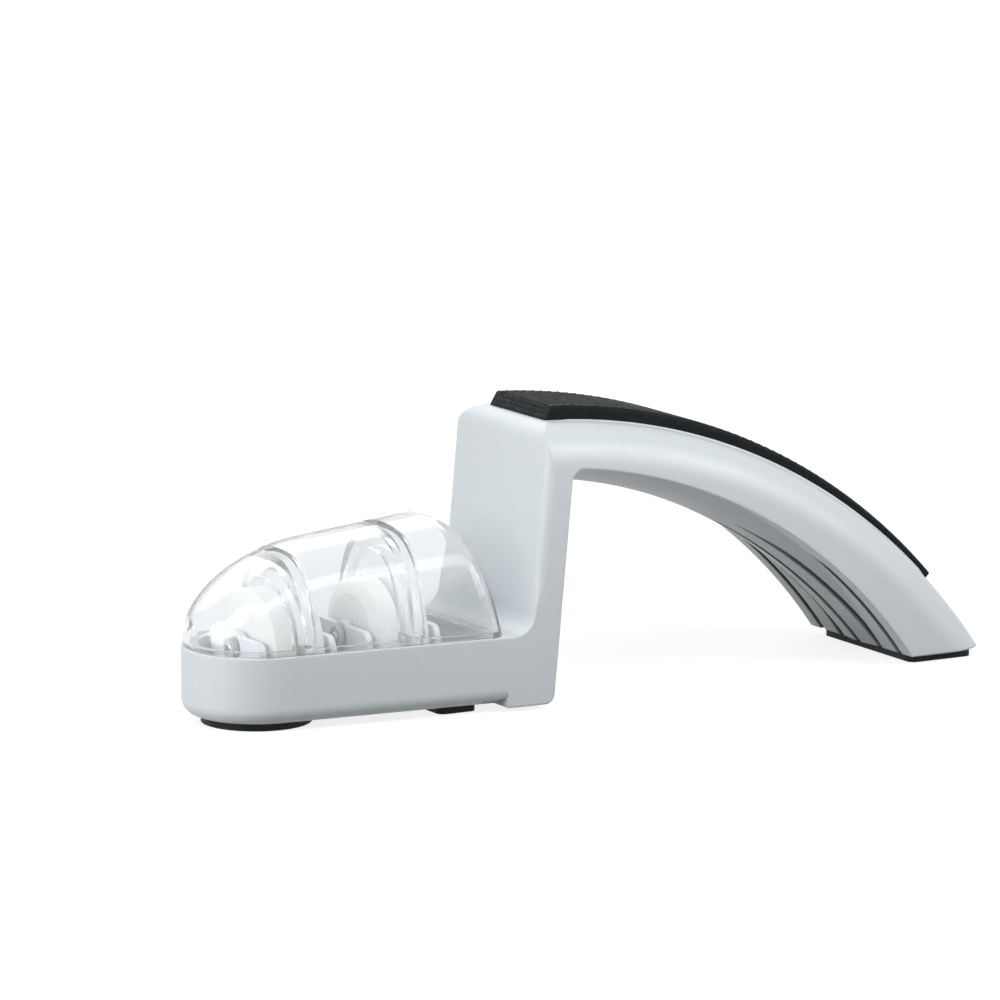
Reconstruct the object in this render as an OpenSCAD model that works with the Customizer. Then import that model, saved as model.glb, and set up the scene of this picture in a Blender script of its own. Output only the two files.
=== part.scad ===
// Water wheel knife sharpener: a boat-shaped water trough with an upright wall and an arched handle,
// a clear lift-off cover with two knife slots, and a turning pair of ceramic wheels under each slot.
// The nose points along -X, the handle's tip along +X, and the table is at Z = 0.

/* [Overall] */
// Length from the nose to the handle's tip
overall_length = 256.6; // [238:0.2:282]
// Width of the upright wall and the handle
body_width = 55.8; // [52:0.2:62]
// Height of the handle's crown over the table
crown_height = 82.4; // [77:0.2:90]

/* [Trough] */
// Radius of the rounded nose, seen from above
nose_radius = 21.5; // [21.3:0.1:23.5]
// Height of the trough's rim over the table
rim_height = 22; // [21.6:0.2:24]
// Air under the trough's bottom
ground_gap = 2.4; // [1.8:0.1:2.9]
// Rounding along the trough's lower edge
lower_round = 4.5; // [3:0.5:6]
// Thickness of the trough's wall
trough_wall = 2.6; // [2:0.1:2.8]
// Thickness of the trough's floor
trough_floor = 1.8; // [1.6:0.1:2.2]
// Distance from the trough's water space to the upright wall
deck_length = 9.6; // [8:0.2:11]
// Concave rounding where the deck rises into the upright wall
deck_round = 6.6; // [3:0.2:6.8]

/* [Upright wall] */
// Distance from the nose to the wall's front face at the rim
wall_from_nose = 97.2; // [95:0.2:102]
// Thickness of the wall
wall_thickness = 8.6; // [7.4:0.2:10]
// Backward lean of the wall in degrees
wall_lean = 5.3; // [4:0.1:6.5]
// Air under the wall
wall_gap = 1.4; // [1:0.1:1.7]
// Distance that the wall's lower block reaches under the deck
wall_block_length = 8.1; // [6:0.1:9]
// Rounding of the wall's foot at the back
wall_foot_round = 3; // [2:0.5:5]
// Rounding of the wall's two upright front edges
wall_edge_round = 3; // [1.5:0.5:4]
// Rounding of the wall's top into the crown
wall_top_round = 6; // [4:0.5:8]
// Length of the notch in the trough's lower edges before that block
notch_length = 7.5; // [5:0.5:9]
// Height of that notch
notch_height = 1.4; // [1:0.1:1.6]
// Depth of that notch from the side
notch_depth = 4; // [2:0.5:4.5]

/* [Handle] */
// Distance from the nose to the highest point of the crown
crown_from_nose = 101; // [98:0.5:104]
// Distance from the nose to the highest point of the underside
under_from_nose = 95.6; // [93:0.2:99]
// Thickness of the handle's sides at the upright wall
handle_thickness = 12.1; // [10.6:0.1:14]
// Length of the handle's foot on the table
foot_length = 29; // [26.5:0.5:33]
// Air under the handle's foot
foot_gap = 2.6; // [2:0.1:3.2]
// Rounded shoulder between the crown and each side
shoulder_round = 12; // [10:0.5:13.5]
// Rounding between the upright wall and the handle's underside
underside_round = 4; // [3:0.5:6]
// Depth of the finger swell under the handle at the wall
swell_depth = 6.4; // [4.8:0.2:7]
// Depth of the finger swell at the foot
swell_foot_depth = 0.8; // [0.4:0.1:1.4]
// Plain margin on each side of the swell
swell_margin = 2.5; // [2:0.5:5]
// Number of grip grooves under the handle
groove_count = 5; // [3:1:5]
// Spacing of the grip grooves
groove_pitch = 10.6; // [8:0.2:11]
// Width of a grip groove
groove_width = 2.8; // [2:0.2:3.4]
// Depth of a grip groove at the foot
groove_depth = 3.4; // [2.4:0.2:4]
// Distance of a groove's upper end below the swell at the wall
groove_start = 1.8; // [1.6:0.1:2.8]

/* [Grip pad] */
// Thickness of the pad at the upright wall
pad_thickness = 4.2; // [3.4:0.1:5]
// Thickness of the pad at its lower end
pad_end_thickness = 2.8; // [2.2:0.1:3.2]
// Distance from the nose to the pad's front end
pad_from_nose = 107.5; // [106.4:0.1:112]
// Run of the pad's sloping front end
pad_front_slope = 2.5; // [1.5:0.1:3.5]
// Distance from the pad's lower end to the handle's tip, along X
pad_to_tip = 17; // [14:0.5:21]
// Rounding of the pad's two long upper edges
pad_edge_round = 1; // [0.6:0.1:1.4]

/* [Feet] */
// Depth of the sockets that the feet sit in
foot_socket = 0.8; // [0.5:0.1:1]
// Flat margin between a foot and the rounded lower edge
foot_margin = 1; // [0.5:0.1:1.4]
// Length of the foot strip under the trough
strip_length = 12.5; // [11:0.5:14]
// Distance from the nose to the front of that strip
strip_from_nose = 70.5; // [62:0.5:71]
// Distance from the front of the handle's foot to its pad
foot_pad_front = 2; // [1.5:0.1:3]
// Distance from the handle's tip to its foot pad
foot_pad_back = 5; // [4:0.2:7]
// Distance from the handle's sides to its foot pad
foot_pad_side = 3.6; // [2.4:0.2:5]
// Corner rounding of that pad and of the strip
foot_corner_round = 2.4; // [1:0.2:4]

/* [Cover] */
// Thickness of the clear cover
cover_wall = 2; // [1.6:0.1:2.2]
// Step from the trough's outside in to the cover
cover_inset = 0.3; // [0.2:0.1:0.4]
// Height of the cover's crest over the rim at the first slot
crest_height = 28.6; // [27:0.2:31]
// Rise of the crest towards the wall in degrees
crest_rise = 5.6; // [4:0.2:7]
// Height of the upright front of the cover's nose over the rim
cover_front_height = 7; // [5:0.2:9]
// Distance over which the cover's nose rises
cover_nose_run = 38.5; // [35:0.5:41]
// Distance from the wall to the cover's rear end at the rim
cover_gap = 7.2; // [7:0.1:7.8]
// Forward lean of the cover's rear end in degrees
cover_end_lean = 14; // [10:0.5:17]
// Rounding of the cover's rear end into its crest
cover_end_round = 9; // [6:0.5:11]
// Height of the inner ledge that stands on the rim
ledge_height = 1.4; // [1:0.1:1.6]
// Depth of the skirt that drops into the trough
skirt_depth = 2; // [1.4:0.1:2.4]
// Thickness of that skirt
skirt_wall = 1.4; // [1.1:0.1:1.6]
// Width of a knife slot
slot_width = 2.8; // [2.2:0.1:3.2]
// Height of the slots' lower ends over the rim
slot_end_height = 2; // [1.7:0.1:3]
// Thickness of the guide rib along each side of a slot
guide_wall = 1.7; // [1.3:0.1:2]
// Depth of those ribs under the cover
guide_depth = 5; // [4:0.5:6]

/* [Wheels] */
// Distance from the nose to the first slot
first_slot_from_nose = 26.8; // [26:0.1:28]
// Distance between the two slots
slot_pitch = 34.1; // [33:0.1:36]
// Radius of a ceramic wheel
wheel_radius = 16.6; // [15:0.1:16.7]
// Width of a wheel at its hub
wheel_width = 8.6; // [7.8:0.1:9]
// Sideways run of the bevel on each side of a wheel
bevel_run = 1.3; // [1:0.1:1.8]
// Depth of that bevel
bevel_depth = 4.4; // [3.6:0.1:5.4]
// Distance of the axles below the rim
axle_drop = 0.2; // [0.1:0.1:0.5]
// Radius of an axle
axle_radius = 1.6; // [1.4:0.05:1.8]
// Thickness of the spacer between two wheels
spacer_thickness = 0.6; // [0.4:0.1:0.9]
// Radius of that spacer
spacer_radius = 5; // [4:0.1:6]
// Radius of the collar on each end of an axle
collar_radius = 3.2; // [2.8:0.1:3.8]
// Length of a collar
collar_length = 1.7; // [1.3:0.1:2]
// Chamfer at the ends of an axle
axle_chamfer = 0.3; // [0.2:0.05:0.4]

/* [Cradles] */
// Thickness of a cradle's two cheeks
cheek_thickness = 2; // [1.6:0.1:2.2]
// Height of the cheeks over the axle
cheek_rise = 3.6; // [3:0.1:4]
// Rounding of the cheeks' upper corners
cheek_round = 3; // [2:0.5:4]
// Radius of the boss round a bush
boss_radius = 4.8; // [4.4:0.1:5.4]
// Width of the water gate under a cheek
gate_width = 12; // [9:0.5:14]
// Height of that gate
gate_height = 5; // [3.6:0.1:5.6]
// Width of the rails that join the cheeks
rail_width = 4; // [3:0.2:4.2]
// Height of those rails
rail_height = 3.2; // [2.4:0.1:3.4]
// Radius of a bush's barrel
bush_radius = 3; // [2.7:0.05:3.3]
// Radius of a bush's flange
flange_radius = 4.2; // [3.7:0.05:4.3]
// Thickness of a bush's flange
flange_thickness = 0.8; // [0.6:0.1:1]

/* [Clearances] */
// Running clearance of an axle in its bush
running_clearance = 0.05; // [0.02:0.01:0.09]
// Side play between turning and fixed pieces
side_play = 0.4; // [0.3:0.05:0.5]
// Room between the cover's skirt and the trough's wall
skirt_room = 0.35; // [0.3:0.05:0.5]
// Room between a cradle and the cover's skirt
cradle_room = 0.4; // [0.3:0.1:0.6]
// Room between the wheels and the cover's guide ribs
guide_room = 1; // [0.8:0.1:1.3]

/* [Hidden] */
$fn = 72;

// Finer steps for the long arcs of the handle and coarser ones for tight roundings
arc_fn = 240;
small_fn = 40;

// Colours
body_grey = [0.80, 0.83, 0.85];
rubber_black = [0.10, 0.11, 0.12];
clear_tint = [0.88, 0.93, 0.95, 0.35];
ceramic_white = [0.96, 0.96, 0.93];
cradle_white = [0.86, 0.88, 0.90];
bush_grey = [0.70, 0.72, 0.75];
steel = [0.62, 0.64, 0.66];

// Overlap of a cut past the face that it opens, and of a piece into the one it is moulded to
cut = 1;

// How far the concave rounding on the deck runs into the wall's face
fillet_bite = 0.06;

// Places along the length
nose_x = -overall_length / 2;
tip_x = overall_length / 2;
nose_centre_x = nose_x + nose_radius;
wall_x = nose_x + wall_from_nose;
trough_end_x = wall_x - deck_length;
cover_end_x = wall_x - cover_gap;
first_slot_x = nose_x + first_slot_from_nose;
second_slot_x = first_slot_x + slot_pitch;
block_x = wall_x - wall_block_length;

// Heights
floor_z = ground_gap + trough_floor;
axle_z = rim_height - axle_drop;

// Half angle at which the trough widens from the nose to the wall
wall_run = wall_x - nose_centre_x;
taper = acos(nose_radius / norm([body_width / 2, wall_run])) - atan2(wall_run, body_width / 2);

// Half width of the trough at x, set in from its outside
function half_width(x, inset) =
    let (r = nose_radius - inset, d = x - nose_centre_x)
    d < -r * sin(taper) ? sqrt(max(0, r * r - d * d)) : (r + d * sin(taper)) / cos(taper);

// The wall's front and back faces lean back as they rise
function front_face(z) = wall_x + (z - rim_height) * tan(wall_lean);
function back_face(z) = front_face(z) + wall_thickness / cos(wall_lean);

// An arc with its top at one point that comes down through a second point, in the X-Z plane
function arc_radius(top, low) = let (d = low - top) (d * d) / (2 * abs(d.y));
function arc_centre(top, low) = [top.x, top.y - arc_radius(top, low)];

// Crown, underside and finger swell of the handle
crown_top = [nose_x + crown_from_nose, crown_height];
crown_low = [tip_x, foot_gap];
crown_r = arc_radius(crown_top, crown_low);
crown_c = arc_centre(crown_top, crown_low);
under_top = [nose_x + under_from_nose, crown_height - handle_thickness];
under_low = [tip_x - foot_length, foot_gap];
under_r = arc_radius(under_top, under_low);
under_c = arc_centre(under_top, under_low);
swell_top = under_top - [0, swell_depth];
swell_low = under_low - [swell_foot_depth, 0];
swell_r = arc_radius(swell_top, swell_low);
swell_c = arc_centre(swell_top, swell_low);
swell_half = body_width / 2 - swell_margin;
swell_curve = (swell_half * swell_half + swell_depth * swell_depth) / (2 * swell_depth);
function swell_fall(y) = swell_curve - sqrt(swell_curve * swell_curve - y * y);

// Grip pad on the flat of the crown between the two shoulders
pad_width = body_width - 2 * shoulder_round;
pad_end_angle = asin((tip_x - pad_to_tip - crown_c.x) / crown_r);
pad_end_way = [sin(pad_end_angle), cos(pad_end_angle)];
pad_top = crown_top + [0, pad_thickness];
pad_low = crown_c + (crown_r + pad_end_thickness) * pad_end_way;
pad_r = arc_radius(pad_top, pad_low);
pad_c = arc_centre(pad_top, pad_low);

// Cover: arch sections along the trough's outline, upright at the nose and leaning at the rear end
cover_length = cover_end_x - nose_x;
cover_fullness = 2.5;
section_steps = 22;
nose_steps = 9;
roof_steps = 5;
rear_steps = 7;
nose_flat = 0.15;
front_drop = crest_height - first_slot_from_nose * tan(crest_rise) - cover_front_height;
nose_curve = (cover_nose_run * cover_nose_run + front_drop * front_drop) / (2 * front_drop);
skirt_inset = trough_wall + skirt_room;
ledge_inset = skirt_inset + skirt_wall;

// One wheel pair along its axle, from the slot's plane outwards
hub_end = spacer_thickness / 2 + wheel_width;
cheek_inner = hub_end + side_play + flange_thickness;
cheek_outer = cheek_inner + cheek_thickness;
collar_inner = cheek_outer + side_play;
axle_half = collar_inner + collar_length + axle_chamfer;
cheek_half = half_width(first_slot_x - cheek_outer, ledge_inset) - cradle_room;

// Centre of the circle of radius r that touches a leaning line on its right and an arc from inside
function corner_centre(line_x, line_z, c, arc_r, r) =
    let (along = [sin(wall_lean), cos(wall_lean)])
    let (start = [line_x, line_z] + r * [cos(wall_lean), -sin(wall_lean)])
    let (b = (start - c) * along)
    let (q = (start - c) * (start - c) - (arc_r - r) * (arc_r - r))
    start + along * (sqrt(b * b - q) - b);

// The trough's outline from above, set in from its outside and closed at x_end
module trough_outline(inset, x_end) {
    r = nose_radius - inset;
    touch = nose_centre_x - r * sin(taper);
    end_half = half_width(x_end, inset);
    translate([nose_centre_x, 0])
        circle(r);
    polygon([[touch, r * cos(taper)], [x_end, end_half], [x_end, -end_half], [touch, -r * cos(taper)]]);
}

// A rectangle with round corners between two corner points
module round_plate(low, high, r) {
    translate(low + [r, 0])
        square(high - low - [2 * r, 0]);
    translate(low + [0, r])
        square(high - low - [0, 2 * r]);
    for (x = [low.x + r, high.x - r])
        for (y = [low.y + r, high.y - r])
            translate([x, y])
                circle(r, $fn = small_fn);
}

// What a rounding of radius r takes off a square edge that lies at [reach, 0]
module edge_waste(reach, r) {
    difference() {
        translate([reach - r, -cut])
            square([r + cut, r + cut]);
        translate([reach - r, r])
            circle(r, $fn = small_fn);
    }
}

// Lays an outline drawn in the X-Z plane across the width
module across(width) {
    rotate([90, 0, 0])
        linear_extrude(width, center = true)
            children();
}

// Section of a turned skin from its axis out to a rim with two rounded edges
module rim_section(radius, width, round) {
    half = width / 2;
    translate([0, -half])
        square([radius - round, width]);
    translate([0, round - half])
        square([radius, width - 2 * round]);
    for (y = [round - half, half - round])
        translate([radius - round, y])
            circle(round);
}

// Room under a turned skin along the arch, carried on straight over the wall
module arch_room(centre, radius, width, round) {
    translate([centre.x, 0, centre.y]) {
        rotate([90, 0, 0])
            rotate_extrude(angle = 90, $fn = arc_fn)
                rim_section(radius, width, round);
        rotate([90, 0, -90])
            linear_extrude(body_width)
                rotate(90)
                    rim_section(radius, width, round);
    }
}

// Half a section of the trough, from its middle out to its side, taller than the rim
module side_section() {
    height = rim_height - ground_gap + cut;
    square([nose_radius - lower_round, height]);
    translate([0, lower_round])
        square([nose_radius, height - lower_round]);
    translate([nose_radius - lower_round, lower_round])
        circle(lower_round, $fn = small_fn);
}

// Replaces the sharp corner between a leaning face and an arc by a round one
module corner_swap(centre, c, r) {
    outward = (centre - c) / norm(centre - c);
    back = [-cos(wall_lean), sin(wall_lean)];
    difference() {
        children();
        polygon([centre, centre + r * back, centre + 1.4 * r * (back + outward), centre + r * outward]);
    }
    translate(centre)
        circle(r, $fn = small_fn);
}

// Opening under the arch, seen from the side
module under_arch() {
    centre = corner_centre(back_face(rim_height), rim_height, under_c, under_r, underside_round);
    corner_swap(centre, under_c, underside_round)
        intersection() {
            translate(under_c)
                circle(under_r, $fn = arc_fn);
            polygon([[back_face(-cut), -cut], [back_face(crown_height), crown_height],
                [tip_x, crown_height], [tip_x, -cut]]);
        }
}

// What the rounding at the back of the wall's foot takes off
module wall_foot_waste() {
    centre_z = wall_gap + wall_foot_round;
    centre_x = back_face(centre_z) - wall_foot_round / cos(wall_lean);
    touch = [centre_x + wall_foot_round * cos(wall_lean), centre_z - wall_foot_round * sin(wall_lean)];
    difference() {
        polygon([[centre_x, centre_z], touch, touch + [cut, 0], [touch.x + cut, wall_gap - cut],
            [centre_x, wall_gap - cut]]);
        translate([centre_x, centre_z])
            circle(wall_foot_round, $fn = small_fn);
    }
}

// Upright wall and handle, seen from the side
module wall_and_handle_side() {
    top_centre = corner_centre(wall_x, rim_height, crown_c, crown_r, wall_top_round);
    high = crown_height + wall_top_round;
    difference() {
        corner_swap(top_centre, crown_c, wall_top_round)
            intersection() {
                translate(crown_c)
                    circle(crown_r, $fn = arc_fn);
                polygon([[wall_x, wall_gap], [wall_x, rim_height], [front_face(high), high],
                    [tip_x + cut, high], [tip_x + cut, foot_gap],
                    [back_face(foot_gap), foot_gap], [back_face(wall_gap), wall_gap]]);
            }
        under_arch();
        wall_foot_waste();
    }
}

// Finger swell along the handle's underside
module finger_swell() {
    start_angle = acos(min(1, (tip_x - swell_c.x) / swell_r));
    end_angle = acos((back_face(rim_height) - swell_c.x) / swell_r);
    intersection() {
        translate([swell_c.x, 0, swell_c.y])
            rotate([90, 0, 0])
                rotate_extrude(angle = end_angle - start_angle, start = start_angle, $fn = arc_fn)
                    intersection() {
                        translate([swell_r + swell_curve, 0])
                            circle(swell_curve, $fn = arc_fn);
                        translate([swell_r - cut, -swell_half])
                            square([swell_depth + 3 * cut, 2 * swell_half]);
                    }
        translate([wall_x, -body_width, foot_gap])
            cube([overall_length, 2 * body_width, crown_height]);
    }
}

// Grip grooves that start flush near the wall and deepen towards the foot
module grip_grooves() {
    first_y = -groove_pitch * (groove_count - 1) / 2;
    depth = 4 * groove_depth;
    for (i = [0 : groove_count - 1]) {
        y = first_y + i * groove_pitch;
        top = swell_top + [0, swell_fall(y) - groove_start];
        low = under_low + [groove_depth / cos(45), 0];
        groove_r = arc_radius(top, low);
        centre = arc_centre(top, low);
        wall_angle = acos((back_face(crown_height) + groove_depth - centre.x) / groove_r);
        foot_angle = acos(min(1, (tip_x - centre.x) / groove_r));
        translate([centre.x, 0, centre.y])
            rotate([90, 0, 0])
                rotate_extrude(angle = wall_angle - foot_angle, start = foot_angle, $fn = arc_fn)
                    translate([groove_r - depth, y - groove_width / 2])
                        square([depth, groove_width]);
    }
}

// Waste of the rounding along the wall's two upright front edges
module wall_edge_waste() {
    low_z = rim_height + deck_round;
    for (side = [0, 1])
        mirror([0, side, 0])
            translate([front_face(low_z), 0, low_z])
                rotate([0, wall_lean, 0])
                    linear_extrude(crown_height)
                        rotate(90)
                            mirror([0, 1])
                                edge_waste(body_width / 2, wall_edge_round);
}

// Concave rounding between the deck and the wall's front face
module deck_fillet() {
    centre_z = rim_height + deck_round;
    centre = [front_face(centre_z) - deck_round / cos(wall_lean) + fillet_bite, centre_z];
    touch = centre + deck_round * [cos(wall_lean), -sin(wall_lean)];
    intersection() {
        across(body_width)
            difference() {
                polygon([[centre.x, rim_height], [centre.x, rim_height - cut],
                    [touch.x + cut, rim_height - cut], [touch.x + cut, touch.y], touch]);
                translate(centre)
                    circle(deck_round, $fn = small_fn);
            }
        linear_extrude(2 * rim_height)
            trough_outline(0, wall_x + 3 * cut);
    }
}

// Outline of the foot strip under the trough, from above
module strip_outline() {
    x = nose_x + strip_from_nose;
    half = half_width(x, lower_round + foot_margin);
    round_plate([x, -half], [x + strip_length, half], foot_corner_round);
}

// Outline of the handle's foot pad, from above
module foot_pad_outline() {
    half = body_width / 2 - foot_pad_side;
    round_plate([under_low.x + foot_pad_front, -half], [tip_x - foot_pad_back, half], foot_corner_round);
}

// Outline of the round foot under the nose, from above
module nose_foot_outline() {
    translate([nose_centre_x, 0])
        circle(nose_radius - lower_round - foot_margin);
}

// Round nose and widening sides of the trough, still solid, too long and too tall
module boat_form() {
    run = wall_run + lower_round;
    across_half = run * sin(taper);
    translate([nose_centre_x, 0, ground_gap]) {
        rotate_extrude()
            side_section();
        for (side = [0, 1])
            mirror([0, side, 0])
                rotate([0, 0, taper])
                    rotate([90, 0, 90])
                        linear_extrude(run)
                            side_section();
        linear_extrude(rim_height - ground_gap + cut)
            polygon([[0, 0], [run * cos(taper), across_half], [run * cos(taper), -across_half]]);
    }
}

// Trough and the wall's lower block, still solid
module trough_block() {
    intersection() {
        boat_form();
        translate([nose_x - cut, -body_width, 0])
            cube([wall_from_nose + cut, 2 * body_width, rim_height]);
    }
    intersection() {
        translate([0, 0, wall_gap])
            linear_extrude(rim_height - wall_gap - cut)
                trough_outline(0, wall_x);
        translate([block_x, -body_width, 0])
            cube([wall_block_length + cut, 2 * body_width, rim_height]);
    }
}

// Notch in the trough's two lower edges
module notches() {
    half = half_width(block_x, 0);
    for (side = [0, 1])
        mirror([0, side, 0])
            translate([block_x - notch_length, half - notch_depth, ground_gap - cut])
                cube([notch_length, notch_depth + cut, notch_height + cut]);
}

// Trough, upright wall and handle in one moulding
module body_shell() {
    color(body_grey)
        difference() {
            union() {
                trough_block();
                difference() {
                    union() {
                        intersection() {
                            across(body_width)
                                wall_and_handle_side();
                            arch_room(crown_c, crown_r, body_width, shoulder_round);
                        }
                        finger_swell();
                    }
                    grip_grooves();
                    wall_edge_waste();
                }
                deck_fillet();
            }
            translate([0, 0, floor_z])
                linear_extrude(rim_height)
                    trough_outline(trough_wall, trough_end_x);
            notches();
            translate([0, 0, ground_gap - cut])
                linear_extrude(foot_socket + cut)
                    nose_foot_outline();
            translate([0, 0, ground_gap - cut])
                linear_extrude(foot_socket + cut)
                    strip_outline();
            translate([0, 0, foot_gap - cut])
                linear_extrude(foot_socket + cut)
                    foot_pad_outline();
        }
}

// Round rubber foot under the nose
module nose_foot() {
    color(rubber_black)
        linear_extrude(ground_gap + foot_socket)
            nose_foot_outline();
}

// Rubber strip under the trough, before the wall
module rear_foot() {
    color(rubber_black)
        linear_extrude(ground_gap + foot_socket)
            strip_outline();
}

// Rubber pad under the handle's foot
module handle_foot_pad() {
    color(rubber_black)
        linear_extrude(foot_gap + foot_socket)
            foot_pad_outline();
}

// Rubber strip along the handle's crown, thick at the wall and thinner at its lower end
module grip_pad() {
    start_x = nose_x + pad_from_nose;
    high = crown_height + 2 * pad_thickness;
    low = crown_c + (crown_r - pad_thickness) * pad_end_way;
    out = crown_c + (crown_r + 3 * pad_thickness) * pad_end_way;
    color(rubber_black)
        intersection() {
            across(pad_width)
                intersection() {
                    difference() {
                        translate(pad_c)
                            circle(pad_r, $fn = arc_fn);
                        translate(crown_c)
                            circle(crown_r, $fn = arc_fn);
                    }
                    polygon([[start_x - pad_front_slope, crown_height - pad_thickness],
                        [start_x + 2 * pad_front_slope, high], [out.x, high], out, low]);
                }
            arch_room(pad_c, pad_r, pad_width, pad_edge_round);
        }
}

// Fall of an arc of radius r at a distance d before its end
function end_fall(d, r) = d >= r ? 0 : r - sqrt(max(0, r * r - (r - d) * (r - d)));

// Lean of the cover's section at a distance from the nose
function section_lean(run) = cover_end_lean * max(0, run - cover_nose_run) / (cover_length - cover_nose_run);

// Height of the cover's crest over the rim in a section, set in from its outside
function section_top(run, inset) =
    let (rise = tan(crest_rise), r = nose_curve - inset, before = max(0, cover_nose_run - run))
    let (line = crest_height + (run - first_slot_from_nose) * rise)
    line / (1 + rise * tan(section_lean(run))) - inset
        - (r - sqrt(r * r - before * before))
        - end_fall(cover_length - inset - run, cover_end_round - inset);

// Half width of the cover at the foot of a section
function section_half(run, inset) =
    half_width(nose_x + run, cover_inset + inset) - end_fall(cover_length - inset - run, deck_round - inset);

// Places of the sections, closer together where the cover bends
function section_runs(inset) =
    let (first = cover_inset + inset + nose_flat, last = cover_length - inset)
    let (rear = cover_length - cover_end_round)
    concat(
        [for (i = [0 : nose_steps - 1]) first + (cover_nose_run - first) * (1 - cos(90 * i / nose_steps))],
        [for (i = [0 : roof_steps - 1]) cover_nose_run + (rear - cover_nose_run) * i / roof_steps],
        [for (i = [0 : rear_steps]) rear + (last - rear) * sin(90 * i / rear_steps)]);

// Points of one section, from the right foot over the crest to the left foot
function section_points(run, inset, low) =
    let (half = section_half(run, inset), rise = section_top(run, inset) - low)
    let (lean = tan(section_lean(run)), bend = 2 / cover_fullness)
    [for (j = [0 : section_steps])
        let (turn = 180 * j / section_steps)
        let (h = low + rise * pow(sin(turn), bend))
        [nose_x + run - h * lean, half * sign(cos(turn)) * pow(abs(cos(turn)), bend), rim_height + h]];

// Solid form of the cover above a height over the rim, set in from its outside
module cover_form(inset, low) {
    runs = section_runs(inset);
    n = section_steps + 1;
    last = (len(runs) - 1) * n;
    points = [for (run = runs) each section_points(run, inset, low)];
    front = [for (j = [0 : section_steps]) j];
    rear = [for (j = [section_steps : -1 : 0]) last + j];
    roof = [for (i = [0 : len(runs) - 2])
        for (j = [0 : section_steps - 1])
            let (a = i * n + j, b = a + n)
            each [[a, b, a + 1], [a + 1, b, b + 1]]];
    under = [for (i = [0 : len(runs) - 2])
        let (a = i * n, b = a + n)
        [a, a + section_steps, b + section_steps, b]];
    polyhedron(points, concat([front, rear], roof, under), convexity = 6);
}

// Inner ledge that stands on the rim, with the skirt that drops into the trough
module cover_rim() {
    difference() {
        union() {
            intersection() {
                cover_form(cover_wall / 2, 0);
                translate([nose_x, -body_width, rim_height])
                    cube([wall_from_nose, 2 * body_width, ledge_height]);
            }
            translate([0, 0, rim_height - skirt_depth])
                linear_extrude(skirt_depth + ledge_height / 2)
                    trough_outline(skirt_inset, trough_end_x - skirt_room);
        }
        translate([0, 0, rim_height - 2 * skirt_depth])
            linear_extrude(4 * skirt_depth)
                trough_outline(ledge_inset, trough_end_x - skirt_room - skirt_wall);
    }
}

// Two guide ribs under the cover along a slot, clear of the wheels
module slot_guides(x) {
    width = slot_width + 2 * guide_wall;
    difference() {
        intersection() {
            translate([x - width / 2, -body_width, 0])
                cube([width, 2 * body_width, 2 * crown_height]);
            cover_form(cover_wall / 2, 0);
        }
        cover_form(cover_wall + guide_depth, -cut);
        translate([x, 0, axle_z])
            rotate([0, 90, 0])
                cylinder(r = wheel_radius + guide_room, h = 2 * width, center = true);
    }
}

// The slit of a slot, with a round lower end on each side
module slot_slit(x) {
    r = slot_width / 2;
    end_z = rim_height + slot_end_height + r;
    across(2 * body_width) {
        translate([x, end_z])
            circle(r, $fn = small_fn);
        translate([x - r, end_z])
            square([slot_width, crown_height]);
    }
}

// Clear cover that lifts off the trough's rim
module clear_cover() {
    color(clear_tint)
        difference() {
            union() {
                difference() {
                    cover_form(0, 0);
                    cover_form(cover_wall, -cut);
                }
                cover_rim();
                slot_guides(first_slot_x);
                slot_guides(second_slot_x);
            }
            slot_slit(first_slot_x);
            slot_slit(second_slot_x);
        }
}

// Turns a piece made along Z onto the axle of the slot at x
module on_axle(x, side = 1) {
    translate([x, 0, axle_z])
        rotate([0, side * 90, 0])
            children();
}

// Cheek of a cradle, seen along the axle
module cheek_outline() {
    base = floor_z - axle_z;
    difference() {
        union() {
            round_plate([-cheek_half, base], [cheek_half, cheek_rise], cheek_round);
            translate([-cheek_half, base])
                square([2 * cheek_half, 2 * cheek_round]);
            circle(boss_radius);
        }
        circle(bush_radius);
        translate([-gate_width / 2, base - cut])
            square([gate_width, gate_height + cut]);
    }
}

// Moulded cradle that stands on the trough's floor and carries a wheel pair
module cradle(x) {
    color(cradle_white)
        union() {
            for (end = [-cheek_outer, cheek_inner])
                translate([x + end, 0, axle_z])
                    rotate([90, 0, 90])
                        linear_extrude(cheek_thickness)
                            cheek_outline();
            for (y = [-cheek_half, cheek_half - rail_width])
                translate([x - cheek_inner - cheek_thickness / 2, y, floor_z])
                    cube([2 * cheek_inner + cheek_thickness, rail_width, rail_height]);
        }
}

// Flanged bush in one cheek
module bush(x, side) {
    color(bush_grey)
        on_axle(x, side)
            difference() {
                union() {
                    translate([0, 0, cheek_inner - flange_thickness])
                        cylinder(r = flange_radius, h = flange_thickness);
                    translate([0, 0, cheek_inner])
                        cylinder(r = bush_radius, h = cheek_thickness);
                }
                cylinder(r = axle_radius + running_clearance, h = 2 * cheek_outer);
            }
}

// Steel axle with chamfered ends
module axle(x) {
    tip = axle_radius - axle_chamfer;
    shoulder = axle_half - axle_chamfer;
    color(steel)
        on_axle(x)
            rotate_extrude()
                polygon([[0, -axle_half], [tip, -axle_half], [axle_radius, -shoulder],
                    [axle_radius, shoulder], [tip, axle_half], [0, axle_half]]);
}

// Ceramic wheel with a bevel on both sides; two of them make the V that the blade runs in
module wheel(x, side) {
    hub = wheel_radius - bevel_depth;
    color(ceramic_white)
        on_axle(x, side)
            translate([0, 0, spacer_thickness / 2])
                rotate_extrude()
                    polygon([[axle_radius, 0], [hub, 0], [wheel_radius, bevel_run],
                        [wheel_radius, wheel_width - bevel_run], [hub, wheel_width],
                        [axle_radius, wheel_width]]);
}

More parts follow.
